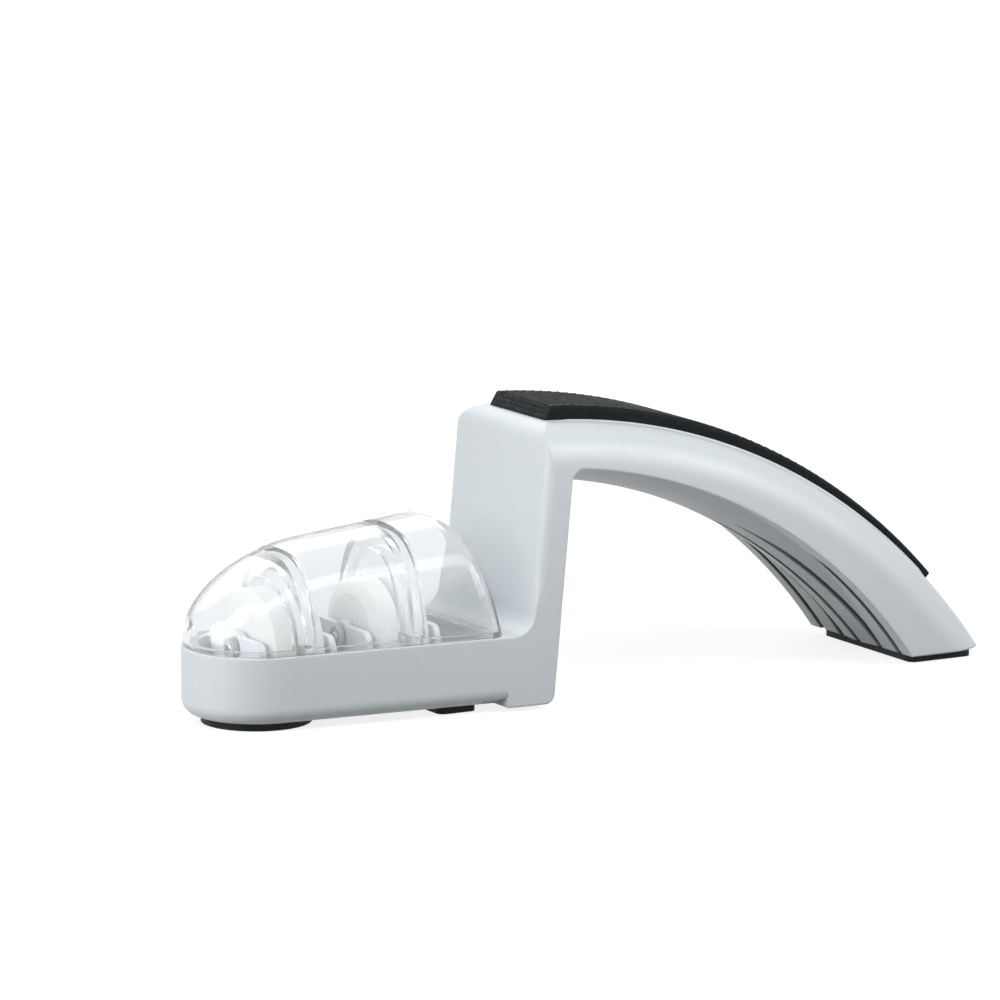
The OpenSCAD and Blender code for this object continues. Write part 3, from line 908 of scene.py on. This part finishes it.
    def wall_corners(self, finish: bpy.types.Material) -> bpy.types.Object:
        """Builds the two forms that lead the wall's square foot into its rounded upright edges.

        Args:
            finish: The material of the corners.

        Returns:
            Both corners as one piece.
        """
        points: list[Point] = []
        faces: list[Face] = []
        span = self.corner_run + self.corner_drop
        levels = [span * i / self.corner_levels - self.corner_drop
                  for i in range(self.corner_levels + 1)]
        for side in (-1, 1):
            sections = [self.corner_section(height, side) for height in levels]
            Maker.loft(sections, side > 0, points, faces)
        corners = Maker.form("wall_corners", points, faces)
        Maker.smooth(corners, self.crease)
        corners.data.materials.append(finish)
        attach(corners, "base")
        LOG.info("wall_corners has %d faces", len(faces))
        return corners

    def dress(self) -> None:
        """Lays the finishes on the body, the pad and the feet."""
        self.put(self.shell.material(), "body_shell")
        self.put(self.pad.material(), "grip_pad")
        self.put(self.feet.material(), "handle_foot_pad", "nose_foot", "rear_foot")

    def build(self) -> None:
        """Dresses the solids and adds the studs, the lips and the corners."""
        self.dress()
        self.pad_studs()
        finish = self.trim.material()
        self.pad_lips(finish)
        self.wall_corners(finish)


@dataclass
class Cover(Dress):
    """The clear cover: a smooth arched shell on the trough's outline, with two guided slots.

    Sizes are in millimetres.
    """

    clear: ClearPlastic = ClearPlastic("clear_plastic")
    nose_x: float = -128.3
    nose_radius: float = 21.5
    body_half: float = 27.9
    wall_from_nose: float = 97.2
    deck_length: float = 9.6
    rim: float = 22.0
    step_in: float = 0.3
    wall: float = 2.0
    slot_count: int = 2
    first_slot: float = 26.8
    slot_pitch: float = 34.1
    slot_width: float = 2.8
    slot_end: float = 2.0
    guide_wall: float = 1.7
    guide_depth: float = 5.0
    wheel_room: float = 17.6
    axle_z: float = 21.8
    crest: float = 28.6
    crest_lean: float = 5.6
    front_height: float = 7.0
    nose_run: float = 38.5
    gap: float = 7.2
    end_lean: float = 14.0
    end_round: float = 9.0
    side_round: float = 6.6
    fullness: float = 2.5
    nose_flat: float = 0.15
    ledge_height: float = 1.4
    skirt_depth: float = 2.0
    skirt_inset: float = 2.95
    ledge_inset: float = 4.35
    skirt_room: float = 0.35
    seat: float = 0.1
    crease: float = 28.0
    section_steps: int = 72
    nose_steps: int = 30
    roof_steps: int = 18
    rear_steps: int = 20
    outline_steps: int = 48
    slit_steps: int = 20
    room_steps: int = 96
    past_rim: float = 1.0
    band_side: float = 40.0
    band_top: float = 60.0
    slit_side: float = 50.0
    slit_top: float = 80.0

    @property
    def crest_rise(self) -> float:
        """Slope of the crest."""
        return math.tan(math.radians(self.crest_lean))

    @property
    def length(self) -> float:
        """Length of the cover at the rim."""
        return self.wall_from_nose - self.gap

    @property
    def taper(self) -> float:
        """Half angle at which the trough widens."""
        run, half = self.wall_from_nose - self.nose_radius, self.body_half
        return math.acos(self.nose_radius / math.hypot(half, run)) - math.atan2(run, half)

    def half_width(self, run: float, inset: float) -> float:
        """Half width of the trough's outline.

        Args:
            run: Distance from the nose.
            inset: How far the line lies inside the trough's outside.

        Returns:
            The half width.
        """
        r = self.nose_radius - inset
        d = run - self.nose_radius
        if d < -r * math.sin(self.taper):
            return math.sqrt(max(0.0, r * r - d * d))
        return (r + d * math.sin(self.taper)) / math.cos(self.taper)

    @staticmethod
    def end_fall(d: float, r: float) -> float:
        """Fall of an arc of radius r at a distance d before its end."""
        return 0.0 if d >= r else r - math.sqrt(max(0.0, r * r - (r - d) ** 2))

    def lean(self, run: float) -> float:
        """Slope of a section's backward lean at a distance from the nose."""
        share = max(0.0, run - self.nose_run) / (self.length - self.nose_run)
        return math.tan(math.radians(self.end_lean * share))

    def top(self, run: float, inset: float) -> float:
        """Height of the crest over the rim.

        Args:
            run: Distance from the nose.
            inset: How far the form lies inside the cover's outside.

        Returns:
            The height.
        """
        drop = self.crest - self.first_slot * self.crest_rise - self.front_height
        r = (self.nose_run ** 2 + drop ** 2) / (2 * drop) - inset
        before = max(0.0, self.nose_run - run)
        line = self.crest + (run - self.first_slot) * self.crest_rise
        rise = line / (1 + self.crest_rise * self.lean(run)) - inset
        rear = self.end_fall(self.length - inset - run, self.end_round - inset)
        return rise - (r - math.sqrt(r * r - before * before)) - rear

    def stations(self, inset: float) -> list[float]:
        """Places the sections, closer together where the cover bends.

        Args:
            inset: How far the form lies inside the cover's outside.

        Returns:
            The sections' distances from the nose.
        """
        first, last = self.step_in + inset + self.nose_flat, self.length - inset
        rear = self.length - self.end_round
        quarter = math.pi / 2
        nose = [first + (self.nose_run - first) * (1 - math.cos(quarter * i / self.nose_steps))
                for i in range(self.nose_steps)]
        roof = [self.nose_run + (rear - self.nose_run) * i / self.roof_steps
                for i in range(self.roof_steps)]
        end = [rear + (last - rear) * math.sin(quarter * i / self.rear_steps)
               for i in range(self.rear_steps + 1)]
        return nose + roof + end

    def section(self, run: float, inset: float, low: float) -> list[Point]:
        """Points of one arch, from the right foot over the crest to the left foot.

        Args:
            run: Distance from the nose.
            inset: How far the form lies inside the cover's outside.
            low: Height of the feet over the rim.

        Returns:
            The points.
        """
        side_fall = self.end_fall(self.length - inset - run, self.side_round - inset)
        half = self.half_width(run, self.step_in + inset) - side_fall
        rise = self.top(run, inset) - low
        bend = 2 / self.fullness
        points = []
        for j in range(self.section_steps + 1):
            turn = math.pi * j / self.section_steps
            side = math.cos(turn)
            h = low + rise * max(0.0, math.sin(turn)) ** bend
            points.append((self.nose_x + run - h * self.lean(run),
                           half * math.copysign(abs(side) ** bend, side), self.rim + h))
        return points

    def form(self, name: str, inset: float, low: float) -> bpy.types.Object:
        """Builds the cover's solid form above a height over the rim.

        Args:
            name: The object's name.
            inset: How far the form lies inside the cover's outside.
            low: Height of its feet over the rim.

        Returns:
            The closed form.
        """
        runs = self.stations(inset)
        count = self.section_steps + 1
        points = [point for run in runs for point in self.section(run, inset, low)]
        last = (len(runs) - 1) * count
        faces: list[Face] = [tuple(range(count - 1, -1, -1)), tuple(range(last, last + count))]
        for i in range(len(runs) - 1):
            a = i * count
            b = a + count
            faces += [(a + j, a + j + 1, b + j + 1, b + j) for j in range(self.section_steps)]
            faces.append((a, b, b + self.section_steps, a + self.section_steps))
        return Maker.form(name, points, faces)

    def outline(self, inset: float, end: float) -> list[Flat]:
        """The trough's outline from above, anticlockwise, closed square at its rear end.

        Args:
            inset: How far the line lies inside the trough's outside.
            end: Where it ends, as a distance from the nose.

        Returns:
            The corners.
        """
        r = self.nose_radius - inset
        middle = self.nose_x + self.nose_radius
        start = math.pi / 2 + self.taper
        arc = 2 * math.pi - 2 * start
        turns = [start + arc * i / self.outline_steps for i in range(self.outline_steps + 1)]
        nose = [(middle + r * math.cos(t), r * math.sin(t)) for t in turns]
        half = self.half_width(end, inset)
        return nose + [(self.nose_x + end, -half), (self.nose_x + end, half)]

    def rim_ring(self) -> bpy.types.Object:
        """Builds the inner ledge over the rim, with the skirt that drops into the trough.

        Returns:
            The closed ring.
        """
        skirt_end = self.wall_from_nose - self.deck_length - self.skirt_room
        thickness = self.ledge_inset - self.skirt_inset
        half = self.wall / 2
        ledge = Maker.prism("ledge", self.outline(self.step_in + half, self.length - half),
                            self.rim + self.seat, self.rim + self.ledge_height, Axis.Z)
        skirt = Maker.prism("skirt", self.outline(self.skirt_inset, skirt_end),
                            self.rim - self.skirt_depth, self.rim + self.ledge_height / 2, Axis.Z)
        hollow = Maker.prism("hollow", self.outline(self.ledge_inset, skirt_end - thickness),
                             self.rim - 2 * self.skirt_depth, self.rim + 2 * self.ledge_height,
                             Axis.Z)
        limit = self.form("ledge_limit", half, -self.seat)
        ring = Maker.combine(Maker.combine(ledge, limit, Joining.SHARE), skirt, Joining.ADD)
        return Maker.combine(ring, hollow, Joining.TAKE)

    def guides(self, slot_x: float) -> bpy.types.Object:
        """Builds the band of material along a slot that becomes its two guide ribs.

        Args:
            slot_x: The slot's place.

        Returns:
            The closed band.
        """
        half = self.slot_width / 2 + self.guide_wall
        first, last, side = slot_x - half, slot_x + half, self.band_side
        slab = [(first, -side), (last, -side), (last, side), (first, side)]
        band = Maker.prism("band", slab, self.rim + self.seat, self.rim + self.band_top, Axis.Z)
        outside = self.form("band_outside", self.wall / 2, 0.0)
        band = Maker.combine(band, outside, Joining.SHARE)
        inside = self.form("band_inside", self.wall + self.guide_depth, -self.past_rim)
        band = Maker.combine(band, inside, Joining.TAKE)
        r = self.wheel_room
        turns = [2 * math.pi * i / self.room_steps for i in range(self.room_steps)]
        wheel = [(r * math.cos(t), self.axle_z + r * math.sin(t)) for t in turns]
        room = Maker.prism("wheel_room", wheel, slot_x - 2 * half, slot_x + 2 * half, Axis.X)
        return Maker.combine(band, room, Joining.TAKE)

    def slit(self, slot_x: float) -> bpy.types.Object:
        """Builds the body of a slot with its round lower ends.

        Args:
            slot_x: The slot's place.

        Returns:
            The closed body that is cut away.
        """
        r = self.slot_width / 2
        z = self.rim + self.slot_end + r
        turns = [math.pi * i / self.slit_steps for i in range(self.slit_steps + 1)]
        arc = [(z - r * math.sin(t), slot_x + r * math.cos(t)) for t in turns]
        top = [(z + self.slit_top, slot_x - r), (z + self.slit_top, slot_x + r)]
        return Maker.prism("slit", arc + top, -self.slit_side, self.slit_side, Axis.Y)

    def build(self) -> bpy.types.Object:
        """Builds the cover in place of its plainer solid.

        Returns:
            The cover.
        """
        shell = self.form("cover_shell", 0.0, self.seat)
        inside = self.form("inside", self.wall, -self.past_rim)
        shell = Maker.combine(shell, inside, Joining.TAKE)
        shell = Maker.combine(shell, self.rim_ring(), Joining.ADD)
        slots = [self.nose_x + self.first_slot + k * self.slot_pitch
                 for k in range(self.slot_count)]
        for slot_x in slots:
            shell = Maker.combine(shell, self.guides(slot_x), Joining.ADD)
        for slot_x in slots:
            shell = Maker.combine(shell, self.slit(slot_x), Joining.TAKE)
        Maker.smooth(shell, self.crease)
        clear = self.clear.material()
        shell.data.materials.clear()
        shell.data.materials.append(clear)
        self.put(clear, "clear_cover")
        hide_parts("clear_cover")
        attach(shell, "cover")
        LOG.info("cover_shell has %d faces", len(shell.data.polygons))
        return shell


CERAMICS = {
    # The coarse wheels' colour and marks are darker than the fine ones' as painted shade, which
    # holds back the stronger lamp light near the nose; the grit shows in the grain.
    Grade.COARSE: FiredCeramic("coarse_ceramic", (0.74, 0.745, 0.74), (0.62, 0.625, 0.62),
                               Grain(1500, 4, 0.00008, 0.8)),
    Grade.FINE: FiredCeramic("fine_ceramic", (0.84, 0.845, 0.84), (0.72, 0.725, 0.72),
                             Grain(2800, 4, 0.00008, 0.8)),
}


@dataclass
class WheelPair(Dress):
    """One pair of wheels with its axle and its cradle."""

    grade: Grade = Grade.COARSE
    cradle: SatinMoulding = SatinMoulding("cradle_plastic", (0.74, 0.77, 0.79),
                                          (0.68, 0.71, 0.73), (0.80, 0.83, 0.85), roughness=0.3)
    bearing: SatinMoulding = SatinMoulding("bearing_plastic", (0.36, 0.38, 0.41),
                                           (0.30, 0.32, 0.34), (0.5, 0.52, 0.54),
                                           roughness=0.36, edge=0.0003)
    steel: GroundSteel = GroundSteel("steel")

    def name(self, piece: str) -> str:
        """The name of one of this pair's pieces or finishes."""
        return f"{self.grade.value}_{piece}"

    def own(self, finish: SatinMoulding | GroundSteel) -> bpy.types.Material:
        """Makes a finish under this pair's own name."""
        return replace(finish, name=self.name(finish.name)).material()

    def dress(self) -> None:
        """Lays the finishes on the wheels, the axle, the cradle and the small pieces."""
        wheels = [self.name(f"wheel_{end.value}") for end in End]
        self.put(CERAMICS[self.grade].material(), *wheels)
        self.put(self.own(self.cradle), self.name("cradle"))
        bushes = [self.name(f"bush_{end.value}") for end in End]
        self.put(self.own(self.bearing), *bushes, self.name("spacer"), self.name("collars"))
        self.put(self.own(self.steel), self.name("axle"))


@dataclass(frozen=True)
class Lamp:
    """One soft lamp. Sizes are in metres and its power in watts."""

    name: str
    place: Point
    target: Point
    size: Flat
    power: float

    def hang(self) -> None:
        """Hangs the lamp and turns it to its target."""
        light = bpy.data.lights.new(self.name, "AREA")
        light.shape = "RECTANGLE"
        light.size, light.size_y = self.size
        light.energy = self.power
        lamp = bpy.data.objects.new(self.name, light)
        lamp.location = self.place
        way = Vector(self.target) - Vector(self.place)
        lamp.rotation_euler = way.to_track_quat("-Z", "Y").to_euler()
        lamp.visible_camera = False
        bpy.context.scene.collection.objects.link(lamp)


@dataclass
class Studio:
    """A white floor, soft lamps and the camera. Sizes are in metres and turns in degrees."""

    floor_size: float = 6.0
    floor_tone: float = 0.3
    floor_glow: float = 0.84
    white: float = 1.0
    glow_near: float = 0.18
    glow_far: float = 0.6
    surround: float = 0.1
    aim: Point = (-0.0191, 0.01285, 0.0542)
    turn: float = 29.866
    tilt: float = 10.313
    roll: float = -0.144
    distance: float = 1.943
    lens: float = 238.5
    sensor: float = 36.0
    far_end: float = 20.0
    lamps: tuple[Lamp, ...] = (
        Lamp("left_lamp", (-0.55, -0.02, 0.16), (0.0, 0.0, 0.04), (0.3, 0.3), 1.28),
        Lamp("left_high_lamp", (-0.42, -0.10, 0.34), (-0.04, 0.0, 0.05), (0.25, 0.25), 0.6),
        Lamp("side_lamp", (0.02, -0.15, 0.20), (0.02, -0.03, 0.06), (0.5, 0.06), 0.32),
        Lamp("right_lamp", (0.45, -0.4, 0.3), (0.03, 0.0, 0.05), (0.3, 0.3), 1.5),
        Lamp("front_lamp", (-0.45, -0.45, 0.6), (-0.03, 0.0, 0.05), (0.4, 0.4), 0.28),
        Lamp("back_lamp", (0.05, 0.5, 0.45), (0.0, 0.0, 0.04), (0.7, 0.4), 1.8),
    )

    def floor_material(self) -> bpy.types.Material:
        """Makes the floor's finish, which keeps the shadow and turns white with the distance.

        Returns:
            The material.
        """
        material = bpy.data.materials.new("floor_white")
        material.use_nodes = True
        nodes = Tree(material.node_tree)
        nodes.tree.nodes.clear()
        matt = nodes.add("ShaderNodeBsdfDiffuse")
        matt.inputs["Color"].default_value = (self.floor_tone,) * 3 + (1.0,)
        away = nodes.add("ShaderNodeVectorMath", operation="LENGTH")
        nodes.join(nodes.add("ShaderNodeTexCoord").outputs["Object"], away.inputs[0])
        pale = nodes.span(away.outputs["Value"], self.glow_near, self.glow_far,
                          self.floor_glow, self.white, "SMOOTHSTEP")
        glow = nodes.add("ShaderNodeEmission")
        nodes.join(nodes.math("MULTIPLY", nodes.seen_directly(), pale), glow.inputs["Strength"])
        both = nodes.add("ShaderNodeAddShader")
        nodes.join(matt.outputs["BSDF"], both.inputs[0])
        nodes.join(glow.outputs["Emission"], both.inputs[1])
        output = nodes.add("ShaderNodeOutputMaterial")
        nodes.join(both.outputs["Shader"], output.inputs["Surface"])
        return material

    def floor(self) -> None:
        """Lays the pale floor."""
        half = self.floor_size / 2
        mesh = bpy.data.meshes.new("studio_floor")
        corners = [(x * half, y * half, 0.0) for x, y in ((-1, -1), (1, -1), (1, 1), (-1, 1))]
        mesh.from_pydata(corners, [], [(0, 1, 2, 3)])
        floor = bpy.data.objects.new("studio_floor", mesh)
        bpy.context.scene.collection.objects.link(floor)
        mesh.materials.append(self.floor_material())

    def world(self) -> None:
        """A white surround for the eye and a softer one for the light."""
        world = bpy.data.worlds.new("studio_world")
        world.use_nodes = True
        bpy.context.scene.world = world
        nodes = Tree(world.node_tree)
        back = world.node_tree.nodes["Background"]
        back.inputs["Color"].default_value = (1, 1, 1, 1)
        strength = nodes.span(nodes.seen_directly(), 0.0, 1.0, self.surround, self.white)
        nodes.join(strength, back.inputs["Strength"])

    def camera(self) -> None:
        """Sets up the camera at the photograph's angle."""
        turn, tilt = math.radians(self.turn), math.radians(self.tilt)
        way = Vector((math.sin(turn) * math.cos(tilt), math.cos(turn) * math.cos(tilt),
                      -math.sin(tilt)))
        data = bpy.data.cameras.new("camera")
        data.lens = self.lens
        data.sensor_width = self.sensor
        data.clip_end = self.far_end
        camera = bpy.data.objects.new("camera", data)
        camera.location = Vector(self.aim) - self.distance * way
        level = way.to_track_quat("-Z", "Y")
        camera.rotation_euler = (Quaternion(way, math.radians(self.roll)) @ level).to_euler()
        bpy.context.scene.collection.objects.link(camera)
        bpy.context.scene.camera = camera

    def build(self) -> None:
        """Sets up the whole studio."""
        self.floor()
        self.world()
        for lamp in self.lamps:
            lamp.hang()
        self.camera()
        bpy.context.scene.view_settings.view_transform = "Standard"


def main() -> None:
    """Builds the studio and dresses every sub-assembly."""
    logging.basicConfig(level=logging.INFO, format="%(message)s")
    Studio().build()
    Base().build()
    Cover().build()
    for grade in Grade:
        WheelPair(grade=grade).dress()


if __name__ == "__main__":
    main()
